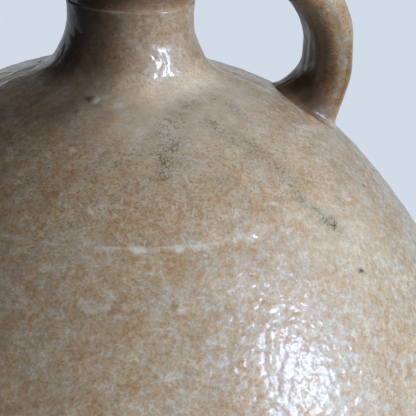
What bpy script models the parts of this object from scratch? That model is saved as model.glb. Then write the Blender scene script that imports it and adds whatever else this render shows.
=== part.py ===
"""A salt-glazed stoneware jug, thrown in two sections, with a collar at the mouth and a strap handle.

Metres, +Z up. The origin is the middle of the base, on the surface that the jug stands on. The handle
lies in the XZ plane, on the +X side. Each piece of clay is an object of its own: the potter throws the
body and the shoulder, adds the collar, and lutes a pulled strap to the collar and the shoulder.

An outline is drawn in a half plane through the jug's axis: its x is the radius and its y the height.
"""

from collections import namedtuple
from math import ceil, copysign, cos, radians, sin, tan

import bmesh
import bpy
from mathutils import Vector

# Luted faces keep this gap, so that no two solids touch.
LUTE_GAP = 0.0003

# The outside of the thrown wall, from the foot up. Each rise is measured from the height before it. A
# slope is how steeply the wall falls away outward: 0 is level, 90 is straight down, and past 90 it draws
# in again.
FOOT_RADIUS = 0.0930
FOOT_SLOPE = radians(105)
FOOT_BAND_HEIGHT = 0.0110
FOOT_EDGE_BEVEL = 0.0018
BELLY_RADIUS = 0.1312
BELLY_RISE = 0.1550
SHOULDER_RADIUS = 0.1113
SHOULDER_RISE = 0.0657
SHOULDER_SLOPE = radians(56)
SEAM_RADIUS = 0.0824
SEAM_RISE = 0.0361
SEAM_SLOPE = radians(46)
CONE_RADIUS = 0.0630
CONE_RISE = 0.0155
CONE_SLOPE = radians(30)
FLARE_RADIUS = 0.0372
FLARE_RISE = 0.0112
FLARE_SLOPE = radians(20)
NECK_BEND_RADIUS = 0.0256
NECK_BEND_RISE = 0.0075
NECK_BEND_SLOPE = radians(60)
NECK_RADIUS = 0.0213
NECK_WAIST_RISE = 0.0135
NECK_TOP_RADIUS = 0.0216
NECK_TOP_RISE = 0.0056
NECK_TOP_SLOPE = radians(98)

BELLY_HEIGHT = FOOT_BAND_HEIGHT + BELLY_RISE
SHOULDER_HEIGHT = BELLY_HEIGHT + SHOULDER_RISE
SEAM_HEIGHT = SHOULDER_HEIGHT + SEAM_RISE
CONE_HEIGHT = SEAM_HEIGHT + CONE_RISE
FLARE_HEIGHT = CONE_HEIGHT + FLARE_RISE
NECK_BEND_HEIGHT = FLARE_HEIGHT + NECK_BEND_RISE
NECK_WAIST_HEIGHT = NECK_BEND_HEIGHT + NECK_WAIST_RISE
NECK_TOP_HEIGHT = NECK_WAIST_HEIGHT + NECK_TOP_RISE

# The walls, measured square to the outside, and the floor.
SHOULDER_WALL = 0.0065
BELLY_WALL = 0.0070
FOOT_WALL = 0.0085
FLOOR_THICKNESS = 0.0100
FLOOR_FILLET = 0.0120
BORE_RADIUS = 0.0132

# The collar: a rounded band that overhangs a tooled groove. Its heights stack up from the neck's top.
COLLAR_FOOT_SLOPE = radians(60)
COLLAR_GROOVE_DEPTH = 0.0007
COLLAR_GROOVE_RISE = 0.0015
COLLAR_UNDERSIDE_OVERHANG = 0.0018
COLLAR_UNDERSIDE_RISE = 0.0029
COLLAR_UNDERSIDE_SLOPE = radians(128)
COLLAR_BAND_OVERHANG = 0.0028
COLLAR_BAND_RISE = 0.0068
COLLAR_LIP_RISE = 0.0093
COLLAR_LIP_INSET = 0.0062
MOUTH_EASING = 0.0055

COLLAR_FOOT_HEIGHT = NECK_TOP_HEIGHT + LUTE_GAP
COLLAR_GROOVE_RADIUS = NECK_TOP_RADIUS - COLLAR_GROOVE_DEPTH
COLLAR_UNDERSIDE_RADIUS = COLLAR_GROOVE_RADIUS + COLLAR_UNDERSIDE_OVERHANG
COLLAR_RADIUS = COLLAR_UNDERSIDE_RADIUS + COLLAR_BAND_OVERHANG
LIP_CREST_RADIUS = COLLAR_RADIUS - COLLAR_LIP_INSET
COLLAR_GROOVE_HEIGHT = COLLAR_FOOT_HEIGHT + COLLAR_GROOVE_RISE
COLLAR_UNDERSIDE_HEIGHT = COLLAR_GROOVE_HEIGHT + COLLAR_UNDERSIDE_RISE
COLLAR_BAND_HEIGHT = COLLAR_UNDERSIDE_HEIGHT + COLLAR_BAND_RISE
COLLAR_TOP_HEIGHT = COLLAR_BAND_HEIGHT + COLLAR_LIP_RISE

# The strap handle. Its line runs through the middle of the strap, and its heights hang on the collar.
STRAP_WIDTH = 0.0270
STRAP_THICKNESS = 0.0146
STRAP_SQUARENESS = 2.6
END_SQUARENESS = 2.0
THUMB_GROOVE_DEPTH = 0.0010
THUMB_GROOVE_WIDTH = 0.0150
HEAD_RISE = 0.0098
HEAD_SLOPE = radians(-6)
CROWN_RADIUS = 0.0425
CROWN_RISE = 0.0014
REACH_RADIUS = 0.0705
REACH_DROP = 0.0296
REACH_RUN = 0.0045
ROOT_RADIUS = 0.0643
ROOT_SIDE_FLARE = 0.0030
ROOT_HEEL_FLARE = 0.0053
ROOT_TOE_FLARE = 0.0036
ROOT_FLARE_LENGTH = 0.0300
ROOT_FLARE_FALLOFF = 4.5
HEAD_SIDE_FLARE = 0.0030
HEAD_HEEL_FLARE = 0.0020
HEAD_TOE_FLARE = 0.0014
HEAD_FLARE_LENGTH = 0.0600
HEAD_FLARE_FALLOFF = 1.0
STRAP_BITE = 0.0060

# How finely the forms are cut.
TURNS_AROUND = 60
WALL_STEP = 0.0190
WALL_TURN = radians(11)
MOUTH_STEPS = 4
FILLET_STEPS = 4
STRAP_STEP = 0.0046
ROOT_STEP = 0.0018
STRAP_POINTS = 26
SHARP_EDGE = radians(40)
MERGE_DISTANCE = 0.00001

# Salt glaze over buff clay.
BODY_COLOUR = (0.47, 0.37, 0.26, 1.0)
SHOULDER_COLOUR = (0.44, 0.35, 0.25, 1.0)
COLLAR_COLOUR = (0.36, 0.28, 0.20, 1.0)
HANDLE_COLOUR = (0.38, 0.29, 0.19, 1.0)
GLAZE_ROUGHNESS = 0.3

Station = namedtuple("Station", "radius height slope wall")
Sample = namedtuple("Sample", "place outward wall")
Knot = namedtuple("Knot", "place way")


def way_down(slope):
    """The direction of a wall that falls away at this slope."""
    return Vector((cos(slope), -sin(slope)))


def smooth_point(start, end, share):
    """The place and direction at a share of the smooth curve from one knot to the next."""
    turn = start.way.angle(end.way)
    round_pull = 2 * tan(turn / 4) / sin(turn / 2) if turn > WALL_TURN else 1
    pull = (end.place - start.place).length * round_pull
    rest = 1 - share
    place = (
        start.place * (rest * rest * (1 + 2 * share))
        + start.way * (pull * rest * rest * share)
        - end.way * (pull * share * share * rest)
        + end.place * (share * share * (1 + 2 * rest))
    )
    way = (
        (end.place - start.place) * (6 * share * rest)
        + start.way * (pull * rest * (1 - 3 * share))
        + end.way * (pull * share * (3 * share - 2))
    )
    return place, way.normalized()


def wall_samples(stations):
    """Places down the outside of a turned wall, with the way out of it and its thickness there."""
    samples = []
    for upper, lower in zip(stations, stations[1:]):
        start = Knot(Vector((upper.radius, upper.height)), way_down(upper.slope))
        end = Knot(Vector((lower.radius, lower.height)), way_down(lower.slope))
        length = (end.place - start.place).length
        turn = abs(lower.slope - upper.slope)
        steps = max(ceil(turn / WALL_TURN), ceil(length / WALL_STEP))
        first = 0 if not samples else 1
        for step in range(first, steps + 1):
            share = step / steps
            place, way = smooth_point(start, end, share)
            wall = upper.wall + (lower.wall - upper.wall) * share
            samples.append(Sample(place, Vector((-way.y, way.x)), wall))
    return samples


def slid(sample, distance):
    """The sample moved down the wall by a distance, or up it by a negative one."""
    down = Vector((sample.outward.y, -sample.outward.x))
    return Sample(sample.place + down * distance, sample.outward, sample.wall)


def inside(samples):
    """The wall's inner face, in the same order."""
    return [sample.place - sample.outward * sample.wall for sample in samples]


def neck_and_shoulder_samples():
    stations = [
        Station(NECK_TOP_RADIUS, NECK_TOP_HEIGHT, NECK_TOP_SLOPE, NECK_TOP_RADIUS - BORE_RADIUS),
        Station(NECK_RADIUS, NECK_WAIST_HEIGHT, radians(90), NECK_RADIUS - BORE_RADIUS),
        Station(NECK_BEND_RADIUS, NECK_BEND_HEIGHT, NECK_BEND_SLOPE, NECK_RADIUS - BORE_RADIUS),
        Station(FLARE_RADIUS, FLARE_HEIGHT, FLARE_SLOPE, SHOULDER_WALL),
        Station(CONE_RADIUS, CONE_HEIGHT, CONE_SLOPE, SHOULDER_WALL),
        Station(SEAM_RADIUS, SEAM_HEIGHT, SEAM_SLOPE, SHOULDER_WALL),
    ]
    return wall_samples(stations)


def lower_body_samples():
    stations = [
        Station(SEAM_RADIUS, SEAM_HEIGHT, SEAM_SLOPE, SHOULDER_WALL),
        Station(SHOULDER_RADIUS, SHOULDER_HEIGHT, SHOULDER_SLOPE, BELLY_WALL),
        Station(BELLY_RADIUS, BELLY_HEIGHT, radians(90), BELLY_WALL),
        Station(FOOT_RADIUS, FOOT_BAND_HEIGHT, FOOT_SLOPE, FOOT_WALL),
    ]
    return wall_samples(stations)


def collar_samples():
    stations = [
        Station(LIP_CREST_RADIUS, COLLAR_TOP_HEIGHT, 0, 0),
        Station(COLLAR_RADIUS, COLLAR_BAND_HEIGHT, radians(90), 0),
        Station(COLLAR_UNDERSIDE_RADIUS, COLLAR_UNDERSIDE_HEIGHT, COLLAR_UNDERSIDE_SLOPE, 0),
        Station(COLLAR_GROOVE_RADIUS, COLLAR_GROOVE_HEIGHT, radians(90), 0),
        Station(NECK_TOP_RADIUS, COLLAR_FOOT_HEIGHT, COLLAR_FOOT_SLOPE, 0),
    ]
    return wall_samples(stations)


def places(samples):
    return [sample.place for sample in samples]


def turned(name, outline):
    """A solid turned about the jug's axis. An outline that starts off the axis is closed into a ring."""
    work = bmesh.new()
    points = [work.verts.new((place.x, 0, place.y)) for place in outline]
    lines = [work.edges.new(pair) for pair in zip(points, points[1:])]
    if outline[0].x > 0:
        lines.append(work.edges.new((points[-1], points[0])))
    bmesh.ops.spin(
        work,
        geom=points + lines,
        cent=(0, 0, 0),
        axis=(0, 0, 1),
        angle=radians(360),
        steps=TURNS_AROUND,
        use_merge=True,
    )
    bmesh.ops.remove_doubles(work, verts=work.verts, dist=MERGE_DISTANCE)
    return finished(name, work)


def finished(name, work):
    """An object in the scene from a closed mesh, with its faces out and its round sides smooth."""
    bmesh.ops.recalc_face_normals(work, faces=work.faces)
    mesh = bpy.data.meshes.new(name)
    work.to_mesh(mesh)
    work.free()
    mesh.shade_smooth()
    mesh.set_sharp_from_angle(angle=SHARP_EDGE)
    piece = bpy.data.objects.new(name, mesh)
    bpy.context.scene.collection.objects.link(piece)
    return piece


def glaze(piece, colour):
    """The piece's own material."""
    material = bpy.data.materials.new(piece.name + "_glaze")
    material.use_nodes = True
    shader = material.node_tree.nodes["Principled BSDF"]
    shader.inputs["Base Color"].default_value = colour
    shader.inputs["Roughness"].default_value = GLAZE_ROUGHNESS
    shader.inputs["Metallic"].default_value = 0
    piece.data.materials.append(material)


def floor_outline(inner_wall):
    """The inner wall down to a fillet, the fillet, and the floor to the axis."""
    fillet_top = FLOOR_THICKNESS + FLOOR_FILLET
    above = [place for place in inner_wall if place.y > fillet_top]
    below = next(place for place in inner_wall if place.y <= fillet_top)
    share = (above[-1].y - fillet_top) / (above[-1].y - below.y)
    corner = above[-1].lerp(below, share)
    centre = Vector((corner.x - FLOOR_FILLET, fillet_top))
    outline = list(above)
    for step in range(FILLET_STEPS + 1):
        angle = radians(90) * step / FILLET_STEPS
        outline.append(centre + Vector((cos(angle), -sin(angle))) * FLOOR_FILLET)
    outline.append(Vector((0, FLOOR_THICKNESS)))
    return outline


def make_lower_body():
    """The lower thrown section: floor, foot, belly and the start of the shoulder, up to the seam."""
    wall = lower_body_samples()
    wall[0] = slid(wall[0], LUTE_GAP / 2)
    base = [
        Vector((0, 0)),
        Vector((FOOT_RADIUS - FOOT_EDGE_BEVEL, 0)),
        Vector((FOOT_RADIUS, FOOT_EDGE_BEVEL)),
    ]
    outline = base + places(wall)[::-1] + floor_outline(inside(wall))
    piece = turned("lower_body", outline)
    glaze(piece, BODY_COLOUR)
    return piece


def make_shoulder():
    """The upper thrown section: a cap on the lower one, drawn in to the neck."""
    wall = neck_and_shoulder_samples()
    wall[-1] = slid(wall[-1], -LUTE_GAP / 2)
    inner = inside(wall)
    inner[0] = Vector((BORE_RADIUS, NECK_TOP_HEIGHT))
    piece = turned("shoulder", places(wall) + inner[::-1])
    glaze(piece, SHOULDER_COLOUR)
    return piece


def make_neck_collar():
    """The band round the mouth, on the neck's top, with an eased mouth."""
    ease_out = LIP_CREST_RADIUS - BORE_RADIUS
    mouth = [Vector((BORE_RADIUS, COLLAR_FOOT_HEIGHT))]
    for step in range(MOUTH_STEPS):
        angle = radians(90) * step / MOUTH_STEPS
        radius = LIP_CREST_RADIUS - ease_out * cos(angle)
        mouth.append(Vector((radius, COLLAR_TOP_HEIGHT - MOUTH_EASING * (1 - sin(angle)))))
    piece = turned("neck_collar", places(collar_samples()) + mouth)
    glaze(piece, COLLAR_COLOUR)
    return piece


def jug_outside():
    """The whole outside, from the lip down to the foot."""
    return collar_samples() + neck_and_shoulder_samples() + lower_body_samples()[1:]


def seat_on_shoulder(radius):
    """The outside's place at this radius, and the way out of the clay there."""
    wall = [sample for sample in neck_and_shoulder_samples() if sample.place.y < NECK_WAIST_HEIGHT]
    wall += lower_body_samples()[1:]
    for upper, lower in zip(wall, wall[1:]):
        if upper.place.x <= radius <= lower.place.x:
            share = (radius - upper.place.x) / (lower.place.x - upper.place.x)
            outward = upper.outward.lerp(lower.outward, share).normalized()
            return upper.place.lerp(lower.place, share), outward
    return wall[0].place, wall[0].outward


def strap_knots():
    """The strap's middle line, from inside the collar, over the crown, to below the shoulder.

    Each knot comes with the length of the steps that lead to it.
    """
    head = Vector((COLLAR_RADIUS, COLLAR_FOOT_HEIGHT + HEAD_RISE))
    head_way = way_down(HEAD_SLOPE)
    crown = Vector((CROWN_RADIUS, head.y + CROWN_RISE))
    reach = Vector((REACH_RADIUS, crown.y - REACH_DROP))
    straight_down = Vector((0, -1))
    root, out_of_root = seat_on_shoulder(ROOT_RADIUS)
    return [
        (Knot(head - head_way * STRAP_BITE, head_way), STRAP_STEP),
        (Knot(head, head_way), STRAP_STEP),
        (Knot(crown, Vector((1, 0))), STRAP_STEP),
        (Knot(reach, straight_down), STRAP_STEP),
        (Knot(reach + straight_down * REACH_RUN, straight_down), STRAP_STEP),
        (Knot(root, -out_of_root), ROOT_STEP),
        (Knot(root - out_of_root * STRAP_BITE, -out_of_root), STRAP_BITE),
    ]


def strap_line():
    """Evenly spaced knots along the strap, each with how far along it is."""
    knots = strap_knots()
    line = [(knots[0][0], 0)]
    for (start, _), (end, step_length) in zip(knots, knots[1:]):
        steps = ceil((end.place - start.place).length / step_length)
        for step in range(1, steps + 1):
            knot = Knot(*smooth_point(start, end, step / steps))
            before, distance = line[-1]
            line.append((knot, distance + (knot.place - before.place).length))
    return line


def flare(distance, length, falloff):
    """1 at a luted end and inside the clay that it is luted to, falling to 0 along the strap."""
    left = 1 - min(max(distance / length, 0), 1)
    return left ** falloff


def strap_section(knot, at_head, at_root):
    """One ring of the strap: a rounded oblong, flared near its ends, with a thumb groove on top."""
    free = 1 - max(at_head, at_root)
    squareness = END_SQUARENESS + (STRAP_SQUARENESS - END_SQUARENESS) * free
    half_width = STRAP_WIDTH / 2 + HEAD_SIDE_FLARE * at_head + ROOT_SIDE_FLARE * at_root
    outer = STRAP_THICKNESS / 2 + HEAD_TOE_FLARE * at_head + ROOT_TOE_FLARE * at_root
    inner = STRAP_THICKNESS / 2 + HEAD_HEEL_FLARE * at_head + ROOT_HEEL_FLARE * at_root
    out = Vector((-knot.way.y, knot.way.x))
    ring = []
    for point in range(STRAP_POINTS):
        angle = radians(360) * point / STRAP_POINTS
        across = half_width * copysign(abs(cos(angle)) ** (2 / squareness), cos(angle))
        reach = outer if sin(angle) > 0 else inner
        through = reach * copysign(abs(sin(angle)) ** (2 / squareness), sin(angle))
        if through > 0:
            aside = min(abs(across) / (THUMB_GROOVE_WIDTH / 2), 1)
            through -= THUMB_GROOVE_DEPTH * free * (1 - aside * aside) ** 2
        place = knot.place + out * through
        ring.append((place.x, across, place.y))
    return ring


def make_handle():
    """The pulled strap, trimmed to the outside of the collar and the shoulder."""
    line = strap_line()
    root_distance = line[-1][1] - STRAP_BITE
    work = bmesh.new()
    rings = []
    for knot, distance in line:
        at_head = flare(distance - STRAP_BITE, HEAD_FLARE_LENGTH, HEAD_FLARE_FALLOFF)
        at_root = flare(root_distance - distance, ROOT_FLARE_LENGTH, ROOT_FLARE_FALLOFF)
        ring = strap_section(knot, at_head, at_root)
        rings.append([work.verts.new(place) for place in ring])
    for ring, following in zip(rings, rings[1:]):
        for point in range(STRAP_POINTS):
            beside = (point + 1) % STRAP_POINTS
            work.faces.new((ring[point], ring[beside], following[beside], following[point]))
    work.faces.new(rings[0])
    work.faces.new(rings[-1])
    piece = finished("handle", work)
    glaze(piece, HANDLE_COLOUR)
    trim(piece)
    return piece


def trim(piece):
    """Cuts away what reaches into the jug, and the luting gap round it."""
    skin = [sample.place + sample.outward * LUTE_GAP for sample in jug_outside()]
    outline = [Vector((0, skin[0].y))] + skin + [Vector((0, skin[-1].y))]
    cutter = turned("outside_cutter", outline)
    cutter.hide_render = True
    cutter.display_type = "WIRE"
    cut = piece.modifiers.new("seat_on_jug", "BOOLEAN")
    cut.operation = "DIFFERENCE"
    cut.solver = "EXACT"
    cut.object = cutter


def main():
    for leftover in list(bpy.data.objects):
        bpy.data.objects.remove(leftover, do_unlink=True)
    make_lower_body()
    make_shoulder()
    make_neck_collar()
    make_handle()


main()
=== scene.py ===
"""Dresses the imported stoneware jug: skins of salt-glazed clay, plain studio light and the photo's camera.

Metres, +Z up. The jug stands on the origin, and its handle lies in the XZ plane on the +X side. An outline
is drawn in a half plane through the jug's axis: first the radius, then the height.
"""

from collections import namedtuple
from math import cos, pi, radians, sin, tan

import bpy
import numpy as np
from mathutils import Matrix, Vector

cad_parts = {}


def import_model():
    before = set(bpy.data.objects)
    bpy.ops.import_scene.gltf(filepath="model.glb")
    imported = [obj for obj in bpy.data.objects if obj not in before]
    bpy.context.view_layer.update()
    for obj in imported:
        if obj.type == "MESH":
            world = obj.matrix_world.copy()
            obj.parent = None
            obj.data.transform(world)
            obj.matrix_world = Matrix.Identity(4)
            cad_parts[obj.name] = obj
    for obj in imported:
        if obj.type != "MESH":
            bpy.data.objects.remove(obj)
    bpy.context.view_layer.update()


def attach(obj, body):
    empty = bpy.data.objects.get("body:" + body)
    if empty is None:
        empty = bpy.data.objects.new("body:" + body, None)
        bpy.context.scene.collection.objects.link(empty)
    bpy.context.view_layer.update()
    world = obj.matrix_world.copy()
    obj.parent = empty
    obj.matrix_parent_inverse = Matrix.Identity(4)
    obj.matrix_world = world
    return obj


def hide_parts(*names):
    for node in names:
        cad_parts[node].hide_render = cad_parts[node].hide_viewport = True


Outline = namedtuple("Outline", "places outs")

# The jug's form: the same stations down its outside as the model has. A slope of 0 is level and one of 90
# is straight down.
Station = namedtuple("Station", "radius height slope")
LIP = Station(0.0193, 0.3417, 0)
BAND = Station(0.0255, 0.3326, 90)
UNDERSIDE = Station(0.0227, 0.3258, 128)
GROOVE = Station(0.0209, 0.3229, 90)
COLLAR_FOOT = Station(0.0211, 0.3214, 60)
NECK_FILLET = Station(0.0208, 0.3220, 50)
NECK_TOP = Station(0.0216, 0.3211, 98)
WAIST = Station(0.0213, 0.3155, 90)
NECK_BEND = Station(0.0256, 0.3020, 60)
FLARE = Station(0.0372, 0.2945, 20)
CONE = Station(0.0630, 0.2833, 30)
SEAM = Station(0.0824, 0.2678, 46)
SHOULDER = Station(0.1113, 0.2317, 56)
BELLY = Station(0.1306, 0.1660, 90)
FOOT = Station(0.0928, 0.0110, 105)

# The walls and the mouth
WALL = 0.0065
FOOT_WALL = 0.0085
BORE_RADIUS = 0.0132
MOUTH_EASING = 0.0055
MOUTH_STEPS = 9
COLLAR_JOINT_INSET = 0.0004
COLLAR_JOINT_LAP = 0.0001
NECK_JOINT_INSET = 0.0006
NECK_JOINT_GAP = 0.0010

# The shoulder's lower edge is tucked in under the body's skin over a few rows.
SEAM_TUCK = 0.0006
SEAM_TUCK_ROWS = 5

# The foot's edge, the base and the floor. Their middles are flat caps.
FOOT_EDGE_BEVEL = 0.0018
FOOT_EDGE_LEAD = 0.0012
FOOT_EDGE_EASING = 0.0004
BASE_RING_SHARES = (0.66, 0.33)
CAP_RADIUS = 0.0020
FLOOR_THICKNESS = 0.0100
FLOOR_RING_SHARE = 0.5
FLOOR_FILLET_WIDTH = 0.0100
FLOOR_FILLET_HEIGHT = 0.0090
FLOOR_FILLET_BEND = (0.0035, 0.0025)

# How finely the skins are made
TURNS = 432
COLLAR_TURNS = 288
UPPER_STEP = 0.0011
LOWER_STEP = 0.0021
NECK_STEP = 0.0005
SEAM_STEP = 0.0004
COLLAR_STEP = 0.0005
INNER_STEP = 0.0120
NECK_INNER_SKIP = 16
OUTLINE_FEWEST_STEPS = 4
STRAP_FEWEST_STEPS = 3
SHARP_ANGLE = radians(50)
SMALL_TURN = radians(11)
NO_LENGTH = 1e-9
NO_LENGTH_SQUARED = 1e-12

# A random field: how many waves it adds up, and the range of their frequencies
FIELD_WAVES = 26
FIELD_RANGE = (0.7, 1.4)

# The relief of the thrown surface. Each kind has its height, the size of its lumps and a seed.
Relief = namedtuple("Relief", "height size seed")
SLOW_WAVES = Relief(0.00012, 0.0450, 3)
GLAZE_LUMPS = Relief(0.00006, 0.0050, 7)
SMALL_LUMPS = Relief(0.000026, 0.0026, 9)
NECK_RUNS = Relief(0.00008, 0.0050, 41)
STRAP_RIDGES = Relief(0.00013, 0.0032, 21)
STRAP_LUMPS = Relief(0.00007, 0.0060, 22)
LUMP_STRETCH = (1, 1, 1.3)
FINGER_RING_HEIGHT = 0.00002
FINGER_RING_SPACING = 0.0058
FINGER_FADE_SIZE = 0.0300
FINGER_FADE_SEED = 5
COLLAR_RELIEF_SHARE = 0.6

# Blisters, above 0, and a pit, below: the place, the radius and the height
BLOBS = (
    ((-0.0165, -0.0290, 0.2958), 0.0015, 0.00038),
    ((-0.0143, -0.0318, 0.2948), 0.0020, 0.00020),
    ((-0.0110, -0.0322, 0.2948), 0.0018, 0.00016),
    ((-0.0221, -0.0340, 0.2932), 0.0009, 0.00028),
    ((-0.0264, -0.0495, 0.2866), 0.0008, 0.00030),
    ((-0.0292, 0.0129, 0.2967), 0.0010, -0.00060),
    ((-0.0009, -0.0950, 0.2534), 0.0008, 0.00020),
)
BLOB_STEEPNESS = 3

# The ring at the seam: its width, its height, and the scraped line under it, whose place is in ring widths
SEAM_RING_WIDTH = 0.0008
SEAM_RING_HEIGHT = 0.00006
SCRAPE_DEPTH = 0.00005
SCRAPE_PLACE = 1.7

# The hollow at the foot of the neck: the middle of its band, the band's width, and its place round the axis
HOLLOW_DEPTH = 0.0006
HOLLOW_RADIUS = 0.0300
HOLLOW_HEIGHT = 0.2930
HOLLOW_WIDTH = 0.0078
HOLLOW_AZIMUTH = radians(-80)
HOLLOW_SPREAD = radians(40)

# The runs of glaze down the neck: where they start and end, and how they are drawn out
RUNS_START = (0.2860, 0.2940)
RUNS_END = (0.3080, 0.3160)
RUNS_RADIUS = 0.030
RUNS_STRETCH = 0.15
BEAD_HEIGHT = 0.00003
BEAD_LINE = (0.3206, 0.0006)

# Patches of paint: their middle, their swing, their size, a seed, and their most
Patches = namedtuple("Patches", "middle swing size seed most")
SEAM_PATCHES = Patches(0.35, 0.45, 0.0100, 11, 1)
RING_PATCHES = Patches(0.28, 0.40, 0.0070, 31, 0.5)
# Painted shade under the raised ring comes in these patches
SHADE_UNDER_RING_PATCHES = Patches(0.5, 0.6, 0.0140, 32, 1)
EDGE_PATCHES = Patches(0.5, 0.5, 0.0060, 33, 1)
STRAP_BROWN = Patches(0.7, 1.0, 0.0030, 24, 2)
STRAP_STREAKS = Patches(0.0, 1.0, 0.0022, 25, 1)

# Painted lines and bands: the middle and the width of a line, and where a band starts and is full
PALE_RING_LINE = (SEAM.height - 0.0002, 0.00070)
# Painted shade: a brown line under the raised ring, in ring widths below it
SHADED_LINE_UNDER_RING = (2.1, 0.9)
RING_FADE = 0.7
RING_FADE_START = (radians(-88), radians(-70))
RING_FADE_END = (radians(-20), 0)
COLLAR_EDGE_LINE = (0.3218, 0.0006)
COLLAR_EDGE_SHARE = 0.8
# Painted shade: a brown line in the collar's groove
SHADED_GROOVE_LINE = (0.3231, 0.0006)
WAIST_BAND = (0.2950, 0.3035)
ABOVE_RING_BAND = (0.2690, 0.2740)
ABOVE_RING_END = (0.2850, 0.2920)
# How much brown each band takes; under the ring and in the groove it is painted shade
SHADE_UNDER_RING = 0.35
BROWN_WAIST = 0.35
BROWN_ABOVE_RING = 0.40
SHADE_IN_GROOVE = 0.5
DEEP_BAND = (0.2975, 0.3065)
BARE_BAND = (0.0004, 0.0024)
BARE_EDGE = Relief(0.0008, 0.0060, 34)
CALM_BAND = (0.2830, 0.2990)
CALM_LEFT = (radians(-130), radians(-100))
CALM_LEAST = 0.15
NECK_SHADE_SHARE = 0.5

# Soft round marks where the photo shows them: the place, the radius and the strength
# Painted light: a paler colour on the upper shoulder round the front of the neck's foot
PAINTED_LIGHT_MARKS = (
    ((0.0060, -0.0400, 0.2930), 0.0240, 1.0),
    ((0.0300, -0.0180, 0.2950), 0.0110, 0.8),
    ((0.0420, -0.0420, 0.2860), 0.0180, 0.5),
    ((0.0660, -0.0270, 0.2776), 0.0100, 0.9),
    ((0.0600, -0.0640, 0.2620), 0.0220, 0.4),
)
# Marks of pale glaze
PALE_MARKS = (
    ((-0.0158, -0.0293, 0.2955), 0.0024, 0.45),
    ((-0.0090, -0.0330, 0.2945), 0.0030, 0.45),
    ((-0.0120, -0.0820, 0.2671), 0.0018, 0.60),
    ((-0.0100, -0.0820, 0.2668), 0.0014, 0.45),
    ((0.0007, -0.0830, 0.2668), 0.0016, 0.55),
    ((-0.0264, -0.0495, 0.2866), 0.0012, 0.70),
    ((-0.0009, -0.0950, 0.2534), 0.0014, 0.80),
)
# Painted shade on the neck's left side and the shoulder beside it, which face away from the lamps
NECK_SHADE = (
    ((-0.0200, -0.0100, 0.3220), 0.0110, 0.90),
    ((-0.0200, -0.0110, 0.3110), 0.0110, 0.90),
    ((-0.0240, -0.0150, 0.3010), 0.0090, 0.80),
    ((-0.0320, -0.0240, 0.2950), 0.0130, 0.60),
    ((-0.0450, -0.0330, 0.2890), 0.0180, 0.40),
    ((-0.0105, -0.0187, 0.3215), 0.0070, 0.55),
    ((-0.0105, -0.0192, 0.3110), 0.0070, 0.40),
    ((-0.0130, -0.0225, 0.3020), 0.0080, 0.50),
    ((-0.0210, -0.0260, 0.2965), 0.0090, 0.50),
    ((-0.0290, -0.0290, 0.2935), 0.0110, 0.40),
)
# Dark marks of glaze
DARK_MARKS = (
    ((-0.0292, 0.0129, 0.2967), 0.0010, 1.0),
    ((-0.0182, -0.0278, 0.2960), 0.0012, 0.3),
    ((0.0718, -0.0418, 0.2670), 0.0006, 1.0),
    ((0.0604, -0.0749, 0.2521), 0.0008, 1.6),
    ((-0.0025, -0.0938, 0.2548), 0.0005, 0.9),
    ((0.0713, -0.0706, 0.2467), 0.0005, 0.8),
    ((-0.0191, -0.0917, 0.2552), 0.0004, 0.7),
)
# Greenish streaks: where each starts and ends, its radius and its strength
GREEN_STREAKS = (
    ((0.0195, -0.0430, 0.2907), (0.0380, -0.0581, 0.2791), 0.0036, 0.80),
    ((0.0243, -0.0277, 0.2946), (0.0334, -0.0388, 0.2891), 0.0028, 0.55),
    ((0.0075, -0.0415, 0.2927), (0.0000, -0.0628, 0.2834), 0.0050, 0.80),
    ((0.0415, -0.0638, 0.2738), (0.0556, -0.0672, 0.2626), 0.0028, 0.60),
    ((0.0520, -0.0666, 0.2656), (0.0530, -0.0668, 0.2650), 0.0034, 0.50),
    ((0.0425, -0.0554, 0.2788), (0.0486, -0.0577, 0.2744), 0.0022, 0.40),
    ((0.0132, -0.0327, 0.2952), (0.0132, -0.0327, 0.2952), 0.0032, 0.60),
    ((0.0426, -0.0365, 0.2869), (0.0426, -0.0365, 0.2869), 0.0036, 0.45),
    ((0.0609, -0.0428, 0.2752), (0.0577, -0.0579, 0.2685), 0.0020, 0.40),
    ((0.0163, -0.0659, 0.2802), (0.0163, -0.0659, 0.2802), 0.0032, 0.45),
)

# The strap, as the model has it: its section, and the places that its middle line passes
STRAP_HALF_WIDTH = 0.0135
STRAP_HALF_THICKNESS = 0.0073
STRAP_SQUARENESS = 2.6
ROUND_SQUARENESS = 2
STRAP_GROOVE_DEPTH = 0.0010
STRAP_GROOVE_HALF_WIDTH = 0.0075
HEAD_PLACE = np.array((0.0255, 0.3312))
HEAD_SLOPE = -6
HEAD_DEPTH = 0.0060
CROWN_PLACE = np.array((0.0425, 0.3326))
REACH_PLACE = np.array((0.0705, 0.3030))
REACH_RUN = 0.0045
ROOT_RADIUS = 0.0643
ROOT_DEPTH = 0.0040
LOOP_MIDDLE = np.array((0.0450, 0.0, 0.3060))

# How much wider the luted ends are, on their sides, outside and inside, and how that falls off
Flares = namedtuple("Flares", "side outer inner length falloff")
HEAD_FLARES = Flares(0.0030, 0.0014, 0.0020, 0.0600, 1.0)
ROOT_FLARES = Flares(0.0030, 0.0036, 0.0053, 0.0300, 4.5)
HEAD_INNER_FADE = (0.0060, 0.0240)

# The strap's skin: how finely it is made, and the fillets that its ends leave on the jug
STRAP_POINTS = 132
STRAP_STEP = 0.0008
SECTION_POINTS = 1440
FILLET_ROWS = 12
HEAD_FILLET = 0.0009
ROOT_FILLET = 0.0022
SINK_OUT = 0.0006
SINK_DEPTH = 0.0004
# The strap's marks are drawn out along it: they are laid on a rod of this radius, which is short.
ROD_RADIUS = 0.012
ROD_LENGTH = 0.012
RIDGE_SHORTENING = 0.4

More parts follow.
